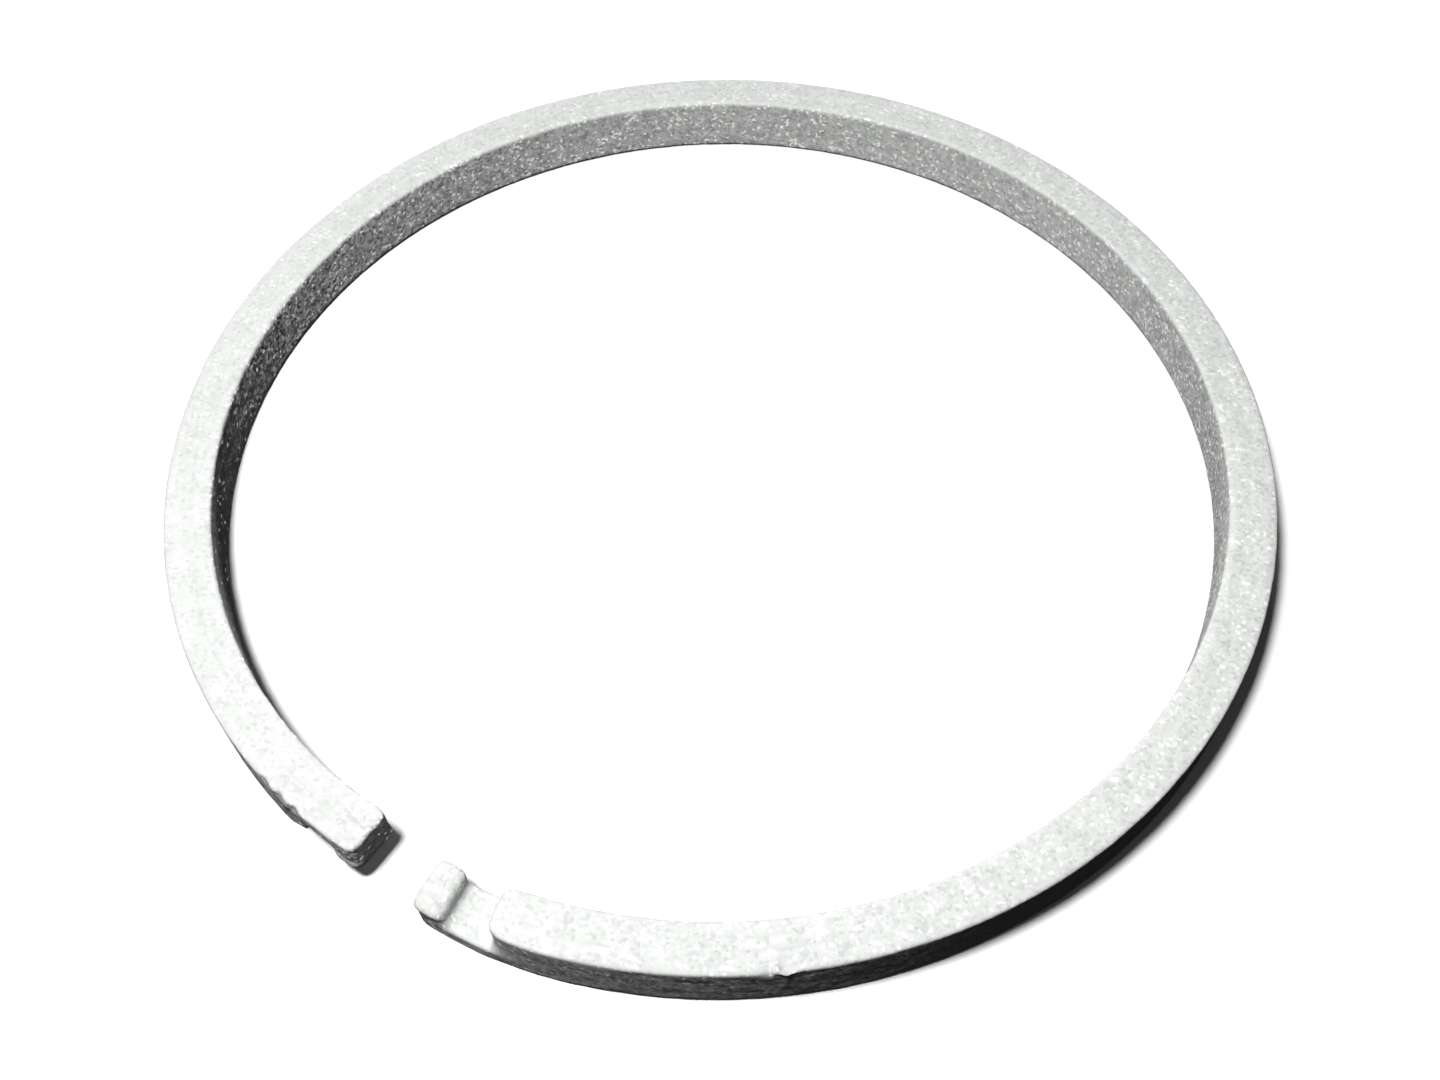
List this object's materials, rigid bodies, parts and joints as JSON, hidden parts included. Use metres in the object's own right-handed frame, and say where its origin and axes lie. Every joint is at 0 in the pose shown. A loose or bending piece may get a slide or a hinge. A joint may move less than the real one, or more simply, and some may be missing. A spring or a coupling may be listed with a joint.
{
  "type": "piston ring",
  "caption": "Split piston ring with a hook joint: a grey cast-iron band, sprung open, that seals between a piston and its cylinder",
  "frame": {"origin": "on the ring's axis, in the plane of its lower side face", "axes": "+Z along the ring's axis, up from the lower side face; -Y through the middle of the gap; +X to the right when the gap is seen from outside"},
  "size_m": [0.06, 0.0599, 0.0035],
  "materials": {
    "ring_iron": "matte, fine-grained, pale grey"
  },
  "bodies": {
    "root": {"piston_ring": "ring_iron"}
  },
  "joints": []
}
